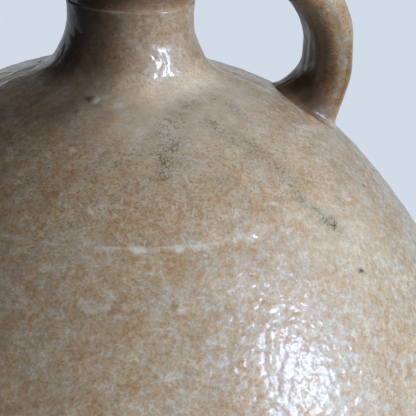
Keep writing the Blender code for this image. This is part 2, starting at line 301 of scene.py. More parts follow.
# The strap's paint, by the height over the jug, the height over the floor and the reach from the axis
ROOT_FREE_BAND = (0.0, 0.0050)
ROOT_CLEAR_BAND = (0.0, 0.0140)
ROOT_BROWN = 0.25
STRAP_TOP_BAND = (0.2950, 0.3250)
STRAP_TOP_LIGHTENING = 0.9
STREAK_SHARE = 0.22
# Painted shadow on the strap's side that faces into the loop, and at its root
SHADOW_SHARE = 0.60
SHADOW_FACING = (-0.25, 0.55)
SHADOW_TOP_BAND = (0.3060, 0.3240)
SHADOW_TOP_LIGHTENING = 0.7
ROOT_SHADOW_SHARE = 0.68
ROOT_SHADOW_HEIGHT = (0.0060, 0.0240)
ROOT_SHADOW_REACH = (0.0630, 0.0715)


def way_down(slope):
    """The direction down an outline, in its half plane, at a station's slope."""
    angle = radians(slope)
    return np.array((cos(angle), -sin(angle)))


def smooth_run(start, start_way, end, end_way, step, fewest):
    """Places on a smooth curve between two places, which leaves and arrives in the given directions."""
    length = np.linalg.norm(end - start)
    turn = np.arccos(np.clip(start_way @ end_way, -1, 1))
    round_pull = 2 * tan(turn / 4) / sin(turn / 2) if turn > SMALL_TURN else 1
    pull = length * round_pull
    share = np.linspace(0, 1, max(int(length / step), fewest) + 1)[:, None]
    rest = 1 - share
    return (
        start * (rest * rest * (1 + 2 * share))
        + start_way * (pull * rest * rest * share)
        - end_way * (pull * share * share * rest)
        + end * (share * share * (1 + 2 * rest))
    )


def smooth_line(knots, step, fewest):
    """One line through knots, each a place and a direction: its places and its direction at each."""
    runs = [smooth_run(*upper, *lower, step, fewest) for upper, lower in zip(knots, knots[1:])]
    places = np.concatenate(runs[:1] + [run[1:] for run in runs[1:]])
    ways = np.gradient(places, axis=0)
    ways /= np.linalg.norm(ways, axis=1, keepdims=True)
    return places, ways


def smooth_outline(stations, step):
    """The turned outline through the stations, in small steps, with the way out at each place."""
    knots = [
        (np.array((station.radius, station.height)), way_down(station.slope)) for station in stations
    ]
    places, ways = smooth_line(knots, step, OUTLINE_FEWEST_STEPS)
    return Outline(places, np.stack((-ways[:, 1], ways[:, 0]), axis=1))


def part_of(outline, rows):
    """The given rows of an outline."""
    return Outline(outline.places[rows], outline.outs[rows])


def stitched(*outlines):
    """One outline from several."""
    return Outline(*map(np.concatenate, zip(*outlines)))


def field(points, size, seed):
    """A smooth random field over places, mostly within -1 and 1, with lumps of one size."""
    draw = np.random.default_rng(seed)
    ways = draw.normal(size=(FIELD_WAVES, 3))
    ways /= np.linalg.norm(ways, axis=1, keepdims=True)
    ways *= draw.uniform(*FIELD_RANGE, (FIELD_WAVES, 1)) * pi / size
    phases = draw.uniform(0, 2 * pi, FIELD_WAVES)
    return np.cos(points @ ways.T + phases).sum(axis=1) / np.sqrt(FIELD_WAVES)


def rough(points, relief):
    """The height of one kind of relief at each place."""
    return relief.height * field(points, relief.size, relief.seed)


def patchy(points, patches):
    """A share at each place that varies in patches, from 0 to the patches' most."""
    share = patches.middle + patches.swing * field(points, patches.size, patches.seed)
    return np.clip(share, 0, patches.most)


def eased(value, low, high):
    """0 below low, 1 above high, and smooth between."""
    share = np.clip((value - low) / (high - low), 0, 1)
    return share * share * (3 - 2 * share)


def near(value, middle, width):
    """1 where the value is at the middle, falling smoothly to 0 a few widths away."""
    away = (value - middle) / width
    return np.exp(-away * away)


def throwing(points):
    """The height of the thrown surface over the true one: slow waves, finger rings and lumps of glaze."""
    turned_share = np.arctan2(points[:, 1], points[:, 0]) / (2 * pi)
    phase = points[:, 2] / FINGER_RING_SPACING + turned_share
    strength = (1 + field(points, FINGER_FADE_SIZE, FINGER_FADE_SEED)) / 2
    rings = FINGER_RING_HEIGHT * np.sin(2 * pi * phase) * strength
    lumps = rough(points * LUMP_STRETCH, GLAZE_LUMPS) + rough(points, SMALL_LUMPS)
    return rough(points, SLOW_WAVES) + rings + lumps


def blobs(points):
    """Blisters and pits where the photo shows them."""
    total = np.zeros(len(points))
    for place, radius, height in BLOBS:
        distance = np.linalg.norm(points - place, axis=1)
        total += height * np.exp(-(distance / radius) ** BLOB_STEEPNESS)
    return total


def seam_lift(points):
    """The low raised ring at the seam, where the two thrown sections meet, and the scraped line under it."""
    away = (SEAM.height - points[:, 2]) / SEAM_RING_WIDTH
    ring = SEAM_RING_HEIGHT * near(away, 0, 1)
    scrape = SCRAPE_DEPTH * near(away, SCRAPE_PLACE, 1)
    return (ring - scrape) * patchy(points, SEAM_PATCHES)


def neck_hollow(points):
    """A soft hollow at the foot of the neck, on the camera's side, where a thumb pressed the clay."""
    radius = np.hypot(points[:, 0], points[:, 1])
    azimuth = np.arctan2(points[:, 1], points[:, 0])
    down = (radius - HOLLOW_RADIUS) - (points[:, 2] - HOLLOW_HEIGHT)
    return -HOLLOW_DEPTH * near(down, 0, HOLLOW_WIDTH) * near(azimuth, HOLLOW_AZIMUTH, HOLLOW_SPREAD)


def neck_runs(points):
    """Low ridges where the glaze ran down from the neck, and the bead round the neck's top."""
    around = points[:, :2] / np.hypot(points[:, 0], points[:, 1])[:, None]
    height = points[:, 2]
    drawn = np.column_stack((around * RUNS_RADIUS, height * RUNS_STRETCH))
    reach = eased(height, *RUNS_START) * (1 - eased(height, *RUNS_END))
    return rough(drawn, NECK_RUNS) * reach + BEAD_HEIGHT * near(height, *BEAD_LINE)


def outside_relief(points):
    """How far the skin of the body and the shoulder stands over the turned outline."""
    relief = throwing(points) + blobs(points) + seam_lift(points)
    return relief + neck_hollow(points) + neck_runs(points)


def collar_relief(points):
    """How far the collar's skin stands over the turned outline."""
    return COLLAR_RELIEF_SHARE * throwing(points)


def grid_faces(rows, columns, closed_rows=False):
    """The four corners of each face of a grid that is closed round its columns."""
    count = rows if closed_rows else rows - 1
    row = np.arange(count)[:, None]
    column = np.arange(columns)[None, :]
    following = (row + 1) % rows
    beside = (column + 1) % columns
    corners = (
        row * columns + column,
        following * columns + column,
        following * columns + beside,
        row * columns + beside,
    )
    return np.stack(np.broadcast_arrays(*corners), axis=-1).reshape(-1, 4)


def placed(name, data):
    """A new object in the scene."""
    made = bpy.data.objects.new(name, data)
    bpy.context.scene.collection.objects.link(made)
    return made


def piece_from(name, places, faces, caps):
    """An object with smooth shading and sharp edges, from places, four-sided faces and many-sided caps."""
    mesh = bpy.data.meshes.new(name)
    mesh.from_pydata(places.tolist(), [], faces.tolist() + caps)
    mesh.validate()
    mesh.shade_smooth()
    mesh.set_sharp_from_angle(angle=SHARP_ANGLE)
    return placed(name, mesh)


def attribute(piece, name, values):
    """Gives each vertex of a piece a value that the glaze reads by name."""
    made = piece.data.attributes.new(name, "FLOAT", "POINT")
    made.data.foreach_set("value", np.ascontiguousarray(values, dtype=np.float32))


def spun(outline, turns):
    """Places and ways out all round the axis, row by row."""
    angles = np.linspace(0, 2 * pi, turns, endpoint=False)
    cosines, sines = np.cos(angles), np.sin(angles)
    places = np.empty((len(outline.places), turns, 3))
    outs = np.empty_like(places)
    for target, source in ((places, outline.places), (outs, outline.outs)):
        target[:, :, 0] = source[:, :1] * cosines
        target[:, :, 1] = source[:, :1] * sines
        target[:, :, 2] = source[:, 1:]
    return places.reshape(-1, 3), outs.reshape(-1, 3)


def inner_run(outline, wall_top, wall_end, skip):
    """The inner face of a wall, coarser than the outside, from its last place back to its first."""
    walls = np.linspace(wall_top, wall_end, len(outline.places))[:, None]
    inner = outline.places - outline.outs * walls
    return inner[::-1][::skip]


def joined(*runs):
    """One array of outline places from runs of them and single ones."""
    return np.concatenate([np.asarray(run, dtype=float).reshape(-1, 2) for run in runs])


def made_skin(name, outline, others, turns, relief, last_of_base=None):
    """A turned piece whose outer outline carries the relief, closed by other plain outlines.

    The rows close in a ring. With last_of_base, that row of the others and the next are instead the rims of
    two flat caps, in the middle of the base and of the floor.
    """
    places, outs = spun(outline, turns)
    places = places + outs * relief(places)[:, None]
    rest, _ = spun(Outline(others, np.zeros_like(others)), turns)
    every = np.concatenate((places, rest))
    faces = grid_faces(len(outline.places) + len(others), turns, closed_rows=True)
    caps = []
    if last_of_base is not None:
        start = (len(outline.places) + last_of_base) * turns
        faces = np.delete(faces, np.s_[start:start + turns], axis=0)
        base_rim = list(range(start, start + turns))
        floor_rim = list(range(start + turns, start + 2 * turns))
        caps = [base_rim[::-1], floor_rim]
    return piece_from(name, every, faces, caps)


def make_shoulder():
    """The skin of the upper section, from the ring to the neck's top, with its inside."""
    stations = [NECK_FILLET, NECK_TOP, WAIST, NECK_BEND, FLARE, CONE, SEAM]
    upper = smooth_outline(stations, NECK_STEP)
    tail = part_of(smooth_outline([SEAM, SHOULDER], SEAM_STEP), slice(1, SEAM_TUCK_ROWS + 1))
    tuck = np.linspace(0, 1, SEAM_TUCK_ROWS)[:, None] ** 2 * SEAM_TUCK
    outline = stitched(upper, Outline(tail.places - tail.outs * tuck, tail.outs))
    inner = inner_run(upper, NECK_TOP.radius - BORE_RADIUS, WALL, NECK_INNER_SKIP)
    inner[:, 0] = np.maximum(inner[:, 0], BORE_RADIUS)
    inner = inner[inner[:, 1] < NECK_TOP.height - NECK_JOINT_GAP]
    bore_end = (BORE_RADIUS, NECK_TOP.height)
    joint_end = (NECK_FILLET.radius - NECK_JOINT_INSET, NECK_TOP.height)
    others = joined(inner, bore_end, joint_end)
    return made_skin("shoulder_skin", outline, others, TURNS, outside_relief)


def make_lower_body():
    """The skin of the lower section, from the ring to the base, with its inside and its floor."""
    upper = smooth_outline([SEAM, SHOULDER], UPPER_STEP)
    middle = smooth_outline([SHOULDER, BELLY], UPPER_STEP)
    lower = smooth_outline([BELLY, FOOT], LOWER_STEP)
    after_first = slice(1, None)
    outline = stitched(upper, part_of(middle, after_first), part_of(lower, after_first))
    coarse = smooth_outline([SEAM, SHOULDER, BELLY, FOOT], INNER_STEP)
    inner = inner_run(coarse, WALL, FOOT_WALL, 1)
    inner = inner[inner[:, 1] > FLOOR_THICKNESS + FLOOR_FILLET_HEIGHT]
    base = [
        (FOOT.radius, FOOT_EDGE_BEVEL + FOOT_EDGE_LEAD),
        (FOOT.radius - FOOT_EDGE_EASING, FOOT_EDGE_BEVEL / 2),
        (FOOT.radius - FOOT_EDGE_BEVEL, 0.0),
    ]
    base += [(FOOT.radius * share, 0.0) for share in BASE_RING_SHARES]
    base.append((CAP_RADIUS, 0.0))
    floor_edge = inner[0][0]
    bend_in, bend_up = FLOOR_FILLET_BEND
    floor = [
        (CAP_RADIUS, FLOOR_THICKNESS),
        (floor_edge * FLOOR_RING_SHARE, FLOOR_THICKNESS),
        (floor_edge - FLOOR_FILLET_WIDTH, FLOOR_THICKNESS),
        (floor_edge - bend_in, FLOOR_THICKNESS + bend_up),
    ]
    others = joined(base, floor, inner)
    return made_skin("lower_body_skin", outline, others, TURNS, outside_relief, len(base) - 1)


def make_collar():
    """The skin of the collar, with its rounded lip and the bore."""
    outline = smooth_outline([LIP, BAND, UNDERSIDE, GROOVE, COLLAR_FOOT], COLLAR_STEP)
    mouth = [
        (NECK_TOP.radius - COLLAR_JOINT_INSET, NECK_TOP.height + COLLAR_JOINT_LAP),
        (BORE_RADIUS, COLLAR_FOOT.height),
    ]
    for step in range(MOUTH_STEPS):
        angle = pi / 2 * step / MOUTH_STEPS
        radius = LIP.radius - (LIP.radius - BORE_RADIUS) * cos(angle)
        mouth.append((radius, LIP.height - MOUTH_EASING * (1 - sin(angle))))
    return made_skin("collar_skin", outline, joined(mouth), COLLAR_TURNS, collar_relief)


def soft_marks(points, marks):
    """How strongly soft round marks cover each place, from 0 to 1."""
    total = np.zeros(len(points))
    for place, radius, strength in marks:
        total += strength * near(np.linalg.norm(points - place, axis=1), 0, radius)
    return np.clip(total, 0, 1)


def soft_streaks(points, streaks):
    """How strongly soft streaks between two places cover each place, from 0 to 1."""
    total = np.zeros(len(points))
    for start, end, radius, strength in streaks:
        way = np.subtract(end, start)
        share = np.clip((points - start) @ way / (way @ way + NO_LENGTH_SQUARED), 0, 1)
        distance = np.linalg.norm(points - start - share[:, None] * way, axis=1)
        total += strength * near(distance, 0, radius)
    return np.clip(total, 0, 1)


def paint(piece):
    """Paints a turned skin: pale glaze, green flecks, dark spots, brown, painted light and painted shade."""
    points = np.empty(3 * len(piece.data.vertices))
    piece.data.vertices.foreach_get("co", points)
    points = points.reshape(-1, 3)
    height = points[:, 2]
    azimuth = np.arctan2(points[:, 1], points[:, 0])
    ring_middle, ring_width = PALE_RING_LINE
    away = (ring_middle - height) / ring_width
    hidden = eased(azimuth, *RING_FADE_START) * (1 - eased(azimuth, *RING_FADE_END))
    ring = near(away, 0, 1) * patchy(points, RING_PATCHES) * (1 - RING_FADE * hidden)
    # Painted shade: a brown line under the raised ring, where its shadow falls
    under = near(away, *SHADED_LINE_UNDER_RING) * patchy(points, SHADE_UNDER_RING_PATCHES)
    collar_edge = near(height, *COLLAR_EDGE_LINE) * patchy(points, EDGE_PATCHES)
    pale = ring + COLLAR_EDGE_SHARE * collar_edge + soft_marks(points, PALE_MARKS)
    above_ring = eased(height, *ABOVE_RING_BAND) * (1 - eased(height, *ABOVE_RING_END))
    # Brown bands of glaze, with painted shade under the ring and in the collar's groove
    brown = (
        SHADE_UNDER_RING * under
        + BROWN_WAIST * eased(height, *WAIST_BAND)
        + BROWN_ABOVE_RING * above_ring
        + SHADE_IN_GROOVE * near(height, *SHADED_GROOVE_LINE)
    )
    # Dark marks of glaze, and painted shade on the neck's left side
    dark = soft_marks(points, DARK_MARKS) + NECK_SHADE_SHARE * soft_marks(points, NECK_SHADE)
    left_side = 1 - eased(azimuth, *CALM_LEFT)
    calm = eased(height, *CALM_BAND) * (CALM_LEAST + (1 - CALM_LEAST) * left_side)
    attribute(piece, "pale", np.clip(pale, 0, 1))
    # Painted light where the shoulder faces up in front of the neck
    attribute(piece, "painted_light", soft_marks(points, PAINTED_LIGHT_MARKS))
    attribute(piece, "brown", brown)
    attribute(piece, "deep", eased(height, *DEEP_BAND))
    attribute(piece, "green", soft_streaks(points, GREEN_STREAKS))
    attribute(piece, "bare", 1 - eased(height + rough(points, BARE_EDGE), *BARE_BAND))
    attribute(piece, "dark", np.clip(dark, 0, 1))
    attribute(piece, "calm", calm)


def jug_outline():
    """The outline that the strap's ends meet, from the lip to the shoulder."""
    collar = smooth_outline([LIP, BAND, UNDERSIDE, GROOVE, COLLAR_FOOT], COLLAR_STEP)
    body = smooth_outline([NECK_TOP, WAIST, NECK_BEND, FLARE, CONE, SEAM, SHOULDER], NECK_STEP)
    return stitched(collar, body)


def nearest_out(outline, points):
    """Each point's distance out of the jug's surface, and the way out of the surface there."""
    flat = np.stack((np.hypot(points[:, 0], points[:, 1]), points[:, 2]), axis=1)
    gaps = np.linalg.norm(flat[:, None] - outline.places[None], axis=2)
    best = gaps.argmin(axis=1)
    outs = outline.outs[best]
    distance = ((flat - outline.places[best]) * outs).sum(axis=1)
    around = points[:, :2] / flat[:, :1]
    return distance, np.column_stack((around * outs[:, :1], outs[:, 1]))


def lengths_along(places):
    """The length of a line up to each of its places."""
    steps = np.linalg.norm(np.diff(places, axis=0), axis=1)
    return np.concatenate(([0], np.cumsum(steps)))


def strap_line(outline):
    """The strap's middle line in its own plane: places and directions."""
    on_body = outline.places[:, 1] < WAIST.height
    misses = np.abs(outline.places[:, 0] - ROOT_RADIUS)
    best = np.where(on_body, misses, np.inf).argmin()
    root, root_out = outline.places[best], outline.outs[best]
    outward = np.array((1.0, 0.0))
    down = np.array((0.0, -1.0))
    head_way = way_down(HEAD_SLOPE)
    knots = [
        (HEAD_PLACE - head_way * HEAD_DEPTH, head_way),
        (HEAD_PLACE, head_way),
        (CROWN_PLACE, outward),
        (REACH_PLACE, down),
        (REACH_PLACE + down * REACH_RUN, down),
        (root, -root_out),
        (root - root_out * ROOT_DEPTH, -root_out),
    ]
    return smooth_line(knots, STRAP_STEP, STRAP_FEWEST_STEPS)


def strap_section(half_width, outer, inner, squareness, groove):
    """One ring of the strap, evenly spaced: across and through."""
    angle = np.linspace(0, 2 * pi, SECTION_POINTS, endpoint=False)
    across = half_width * np.sign(np.cos(angle)) * np.abs(np.cos(angle)) ** (2 / squareness)
    reach = np.where(np.sin(angle) > 0, outer, inner)
    through = reach * np.sign(np.sin(angle)) * np.abs(np.sin(angle)) ** (2 / squareness)
    aside = np.clip(np.abs(across) / STRAP_GROOVE_HALF_WIDTH, 0, 1)
    through = through - np.where(through > 0, groove * (1 - aside * aside) ** 2, 0)
    ring = np.stack((across, through), axis=1)
    closed = np.concatenate((ring, ring[:1]))
    along = lengths_along(closed)
    even = np.linspace(0, along[-1], STRAP_POINTS, endpoint=False)
    return np.stack([np.interp(even, along, closed[:, axis]) for axis in (0, 1)], axis=1)


def nearness(distance, flares):
    """How near a luted end is, from 0 to 1, by its flare's length and falloff."""
    return (1 - min(max(distance / flares.length, 0), 1)) ** flares.falloff


def strap_ring(place, way, distance, end):
    """One ring of the strap's plain form, at its distance from the line's start."""
    at_head = nearness(distance - HEAD_DEPTH, HEAD_FLARES)
    at_root = nearness(end - distance, ROOT_FLARES)
    head_inner = HEAD_FLARES.inner * at_head * eased(distance, *HEAD_INNER_FADE)
    free = 1 - max(at_head, at_root)
    section = strap_section(
        STRAP_HALF_WIDTH + HEAD_FLARES.side * at_head + ROOT_FLARES.side * at_root,
        STRAP_HALF_THICKNESS + HEAD_FLARES.outer * at_head + ROOT_FLARES.outer * at_root,
        STRAP_HALF_THICKNESS + head_inner + ROOT_FLARES.inner * at_root,
        ROUND_SQUARENESS + (STRAP_SQUARENESS - ROUND_SQUARENESS) * free,
        STRAP_GROOVE_DEPTH * free,
    )
    out = np.array((-way[1], way[0]))
    flat = place + out * section[:, 1:]
    return np.column_stack((flat[:, 0], section[:, 0], flat[:, 1]))


def on_rod(lengths, turns):
    """Places on the rod that the strap's marks are laid on, by the length along it and the turn round it."""
    return np.stack((lengths, ROD_RADIUS * np.cos(turns), ROD_RADIUS * np.sin(turns)), axis=-1)


def strap_grid(outline):
    """The strap's places, ring by ring from the collar to the shoulder, and the ways out of it."""
    places, ways = strap_line(outline)
    along = lengths_along(places)
    end = along[-1] - ROOT_DEPTH
    grid = np.array([strap_ring(*station, end) for station in zip(places, ways, along)])
    outs = np.cross(np.gradient(grid, axis=0), np.roll(grid, -1, axis=1) - np.roll(grid, 1, axis=1))
    outs /= np.linalg.norm(outs, axis=2, keepdims=True)
    middle = grid.mean(axis=1, keepdims=True)
    outs *= np.sign(((grid - middle) * outs).sum(axis=2).mean())
    turns = np.arange(STRAP_POINTS) * (2 * pi / STRAP_POINTS)
    lengths, turns = np.meshgrid(along * RIDGE_SHORTENING, turns, indexing="ij")
    ridges = rough(on_rod(lengths, turns).reshape(-1, 3), STRAP_RIDGES)
    height = ridges + rough(grid.reshape(-1, 3), STRAP_LUMPS)
    return grid + outs * height.reshape(lengths.shape)[:, :, None], outs


def sampled(values, rows):
    """Rows of values at row numbers that have fractions."""
    whole = np.arange(len(values))
    return np.stack([np.interp(rows, whole, values[:, axis]) for axis in range(3)], axis=1)


def seated_run(places, outs, jug_outs, height, radius):
    """One run of places along the strap, bent onto the jug where its height over the jug is the radius."""
    count = len(places)
    first_row = count // 2
    falling = np.maximum.accumulate(height[::-1])[::-1][first_row:]
    angles = np.linspace(0, pi / 2, FILLET_ROWS + 1)
    levels = radius * (1 - np.sin(angles))
    crossings = np.interp(-levels, -falling, np.arange(first_row, count))
    free = np.linspace(0, crossings[0], count - FILLET_ROWS)
    rows = np.concatenate((free, crossings[1:]))
    place, way, normal = sampled(places, rows), sampled(outs, rows), sampled(jug_outs, rows)
    normal /= np.linalg.norm(normal, axis=1, keepdims=True)
    level_way = way - normal * (way * normal).sum(axis=1, keepdims=True)
    level_way /= np.linalg.norm(level_way, axis=1, keepdims=True) + NO_LENGTH
    reach = np.concatenate((np.zeros(len(free)), radius * (1 - np.cos(angles[1:]))))
    place = place + level_way * reach[:, None]
    last = place[-1] + level_way[-1] * SINK_OUT - normal[-1] * SINK_DEPTH
    return np.concatenate((place, last[None])), np.concatenate((way, way[-1:]))


def seated(grid, outs, outline, radius):
    """The strap with its last rings swept out onto the jug in a fillet, and sunk under its surface."""
    height, jug_outs = nearest_out(outline, grid.reshape(-1, 3))
    height = height.reshape(grid.shape[:2])
    jug_outs = jug_outs.reshape(grid.shape)
    runs = [
        seated_run(grid[:, point], outs[:, point], jug_outs[:, point], height[:, point], radius)
        for point in range(STRAP_POINTS)
    ]
    places, ways = zip(*runs)
    return np.stack(places, axis=1), np.stack(ways, axis=1)


def paint_handle(piece, grid, outs, outline):
    """Gives each place of the handle's skin its shares of brown, deep glaze, streaks and painted shadow."""
    points = grid.reshape(-1, 3)
    reach, height = points[:, 0], points[:, 2]
    over_jug, _ = nearest_out(outline, points)
    inward = LOOP_MIDDLE - points
    inward /= np.linalg.norm(inward, axis=1, keepdims=True)
    facing = (outs.reshape(-1, 3) * inward).sum(axis=1)
    free = eased(over_jug, *ROOT_FREE_BAND)
    clear = eased(over_jug, *ROOT_CLEAR_BAND)
    row, column = np.indices(grid.shape[:2])
    lengths = row.ravel() / len(grid) * ROD_LENGTH
    drawn = on_rod(lengths, column.ravel() * (2 * pi / STRAP_POINTS))
    # Painted shadow on the strap's side that faces into the loop, less near its top
    shadow = SHADOW_SHARE * eased(facing, *SHADOW_FACING)
    shadow = shadow * (1 - SHADOW_TOP_LIGHTENING * eased(height, *SHADOW_TOP_BAND))
    # Painted shadow at the strap's root, where it meets the shoulder
    root_shadow = ROOT_SHADOW_SHARE * (1 - eased(over_jug, *ROOT_SHADOW_HEIGHT))
    root_shadow = root_shadow * (1 - eased(reach, *ROOT_SHADOW_REACH))
    streaks = STREAK_SHARE * patchy(drawn, STRAP_STREAKS) * clear
    brown = patchy(drawn, STRAP_BROWN) * (ROOT_BROWN + (1 - ROOT_BROWN) * clear)
    attribute(piece, "brown", brown)
    attribute(piece, "deep", free * (1 - STRAP_TOP_LIGHTENING * eased(height, *STRAP_TOP_BAND)))
    attribute(piece, "dark", np.clip(np.maximum(shadow, root_shadow) + streaks, 0, 1))
    attribute(piece, "calm", free)


def make_handle():
    """The painted skin of the strap, seated on the shoulder and on the collar."""
    outline = jug_outline()
    grid, outs = strap_grid(outline)
    grid, outs = seated(grid, outs, outline, ROOT_FILLET)
    grid, outs = seated(grid[::-1], outs[::-1], outline, HEAD_FILLET)
    grid, outs = grid[::-1], outs[::-1]
    rows = len(grid)
    faces = grid_faces(rows, STRAP_POINTS)
    first = list(range(STRAP_POINTS))[::-1]
    last = list(range((rows - 1) * STRAP_POINTS, rows * STRAP_POINTS))
    piece = piece_from("handle_skin", grid.reshape(-1, 3), faces, [first, last])
    paint_handle(piece, grid, outs, outline)
    return piece


def rgb(red, green, blue):
    """A colour as shaders take it."""
    return (red, green, blue, 1.0)


# The glaze's tone runs from brown clay, at 0, to cream glaze, at 1.
BROWN = rgb(0.385, 0.258, 0.150)
TAN = rgb(0.435, 0.350, 0.256)
LIGHT_TAN = rgb(0.460, 0.404, 0.330)
CREAM = rgb(0.520, 0.510, 0.485)
TONE_STOPS = ((0.10, BROWN), (0.42, TAN), (0.64, LIGHT_TAN), (0.90, CREAM))
BROWN_TO_TONE = -0.22

# The colours of its marks, and how much of the glaze's colour each takes over
PALE = rgb(0.600, 0.590, 0.560)
# Painted light, and how much of the glaze's colour it takes over
PAINTED_LIGHT = rgb(0.690, 0.610, 0.520)
PAINTED_LIGHT_SHARE = 0.52
OLIVE = rgb(0.340, 0.330, 0.250)
OLIVE_SHARE = 0.25
MOSS = rgb(0.080, 0.074, 0.042)
MOSS_SHARE = 0.95
RUST = rgb(0.300, 0.170, 0.080)
RUST_SHARE = 0.14
RUST_PER_BROWN = 1.1
FLECK = rgb(0.580, 0.570, 0.535)
FLECK_SHARE = 0.42
# The iron colour of dark marks and freckles, also laid as painted shade and painted shadow
IRON_AND_SHADE = rgb(0.075, 0.045, 0.030)
FRECKLE_SHARE = 0.5
SPECK_SHARE = 0.6
BARE_CLAY = rgb(0.470, 0.380, 0.280)
BARE_SHARE = 0.85
COOL_TINT = rgb(0.975, 0.997, 1.030)
WARM_TINT = rgb(1.025, 1.000, 0.965)
WHITE = rgb(1.0, 1.0, 1.0)

# Noise: how large its marks are, in metres, and its detail and roughness
Noise = namedtuple("Noise", "size detail roughness distortion", defaults=(0.0,))
BROAD_NOISE = Noise(0.0300, 2.0, 0.5)
BROAD_SWING = 0.45
RAGGED_NOISE = Noise(0.0016, 2.0, 0.6)
RAGGED_SWING = 0.7
RAGGED_RANGE = (0.50, 1.15)
BEND_NOISE = Noise(0.0012, 2.0, 0.5)
BEND_REACH = (0.0014, 0.0014, 0.0014)
VEIN_SIZE = 0.0015
VEIN_EDGE = (0.14, 0.03)

# Spots: a noise, and the values between which a spot starts and is full
WARM_SPOTS = (Noise(0.0080, 2.0, 0.5), 0.38, 0.62)
FLECK_SPOTS = (Noise(0.0030, 2.0, 0.6, 0.6), 0.585, 0.66)
RUST_SPOTS = (Noise(0.0008, 1.0, 0.5), 0.56, 0.70)
SPECK_SPOTS = (Noise(0.0009, 2.0, 0.6), 0.52, 0.64)
FRECKLE_SPOTS = (Noise(0.0013, 1.0, 0.5), 0.74, 0.86)
VEIN_SPOTS = (Noise(0.0040, 2.0, 0.6), 0.44, 0.62)

# The mottle: how large each kind of mark is, in metres, and its share of the tone. The larger ones are
# drawn out round the jug.
MOTTLE = ((0.0090, 0.13), (0.0034, 0.19), (0.0017, 0.20), (0.0009, 0.22), (0.0005, 0.22))
MOTTLE_RANGE = (0.30, 0.70)
MOTTLE_DETAIL = 0.0
MOTTLE_ROUGHNESS = 0.5
BANDED_FROM = 0.002
BANDING = (1.0, 1.0, 1.5)

# The pits of the glaze. The clear coat takes their full depth and the clay under it little.
PIT_SIZE = 0.0028
PIT_SMOOTHNESS = 0.7
PIT_SHARE = -0.5
BUMP_NOISE = Noise(0.0024, 1.0, 0.35)
COAT_BUMP = 0.00036
CALM_BUMP_LOSS = -0.00014
CLAY_BUMP = 0.00006
CLAY_ROUGHNESS = 0.5
BARE_ROUGHNESS_GAIN = 0.4
COAT_WEIGHT = 0.9
COAT_ROUGHNESS = 0.14
GLAZE_IOR = 1.5
SPECULAR_LEVEL = 0.9

# What the glaze's colour is multiplied by where it lies deep
BODY_SHADE = rgb(0.72, 0.69, 0.66)
COLLAR_SHADE = rgb(0.62, 0.55, 0.48)
HANDLE_SHADE = rgb(0.67, 0.61, 0.54)


def put(tree, socket, value):
    """Links an output to a socket, or sets the socket's own value."""
    if isinstance(value, bpy.types.NodeSocket):
        tree.links.new(value, socket)
    else:
        socket.default_value = value


def node(tree, kind, inputs=(), **settings):
    """A new node with its settings, and its inputs linked or set."""
    made = tree.nodes.new("ShaderNode" + kind)
    for name, value in settings.items():
        setattr(made, name, value)
    for name, value in dict(inputs).items():
        put(tree, made.inputs[name], value)
    return made


def noisy(tree, where, noise):
    """A noise's values at the given places."""
    inputs = {
        "Vector": where,
        "Scale": 1 / noise.size,
        "Detail": noise.detail,
        "Roughness": noise.roughness,
        "Distortion": noise.distortion,
    }
    return node(tree, "TexNoise", inputs).outputs["Fac"]


def ramped(tree, value, low, high):
    """0 where the value is low, 1 where it is high, and smooth between."""
    inputs = {"Value": value, "From Min": low, "From Max": high}
    return node(tree, "MapRange", inputs, interpolation_type="SMOOTHSTEP").outputs["Result"]


def spotted(tree, where, spots):
    """1 in the spots of a noise and 0 between them."""
    noise, low, high = spots
    return ramped(tree, noisy(tree, where, noise), low, high)


def computed(tree, operation, first, second, third=0.0):
    """The result of one sum on values."""
    return node(tree, "Math", {0: first, 1: second, 2: third}, operation=operation).outputs[0]


def scaled(tree, value, factor):
    """A value times a factor."""
    return computed(tree, "MULTIPLY", value, factor)


def sloped(tree, value, slope, start):
    """A value times a slope, plus a start."""
    return computed(tree, "MULTIPLY_ADD", value, slope, start)


def mixed(tree, share, low, high, blend="MIX"):
    """Two colours mixed, or blended in another way, by the second one's share."""
    made = node(tree, "Mix", data_type="RGBA", blend_type=blend)
    for index, value in ((0, share), (6, low), (7, high)):
        put(tree, made.inputs[index], value)
    return made.outputs[2]


def layer(tree, name):
    """The values that the skins were painted with under a name."""
    return node(tree, "Attribute", attribute_name=name).outputs["Fac"]


def mottled(tree, where, banded):
    """A tone from 0, for orange-brown clay, to 1, for grey-cream glaze."""
    tone = sloped(tree, noisy(tree, banded, BROAD_NOISE), BROAD_SWING, 0.5 - BROAD_SWING / 2)
    for size, share in MOTTLE:
        drawn = banded if size > BANDED_FROM else where
        marks = spotted(tree, drawn, (Noise(size, MOTTLE_DETAIL, MOTTLE_ROUGHNESS), *MOTTLE_RANGE))
        tone = computed(tree, "ADD", tone, sloped(tree, marks, share, -share / 2))
    return tone


def crackled(tree, where):
    """Fine broken veins, from 0 between them to 1 on them."""
    bent = noisy(tree, where, BEND_NOISE)
    moves = {0: bent, 1: BEND_REACH, 2: where}
    moved = node(tree, "VectorMath", moves, operation="MULTIPLY_ADD").outputs["Vector"]
    cells = {"Vector": moved, "Scale": 1 / VEIN_SIZE}
    edges = node(tree, "TexVoronoi", cells, feature="DISTANCE_TO_EDGE").outputs["Distance"]
    return scaled(tree, ramped(tree, edges, *VEIN_EDGE), spotted(tree, where, VEIN_SPOTS))


def clay_colour(tree, where, brown):
    """The mottled colour of the glazed clay, before its marks."""
    banded = node(tree, "Mapping", {"Vector": where, "Scale": BANDING}).outputs["Vector"]
    tone = sloped(tree, brown, BROWN_TO_TONE, mottled(tree, where, banded))
    ramp = node(tree, "ValToRGB", {"Fac": tone})
    stops = ramp.color_ramp.elements
    stops[0].position, stops[0].color = TONE_STOPS[0]
    stops[1].position, stops[1].color = TONE_STOPS[-1]
    for position, colour in TONE_STOPS[1:-1]:
        stops.new(position).color = colour
    tint = mixed(tree, spotted(tree, banded, WARM_SPOTS), COOL_TINT, WARM_TINT)
    return mixed(tree, 1.0, ramp.outputs["Color"], tint, "MULTIPLY")


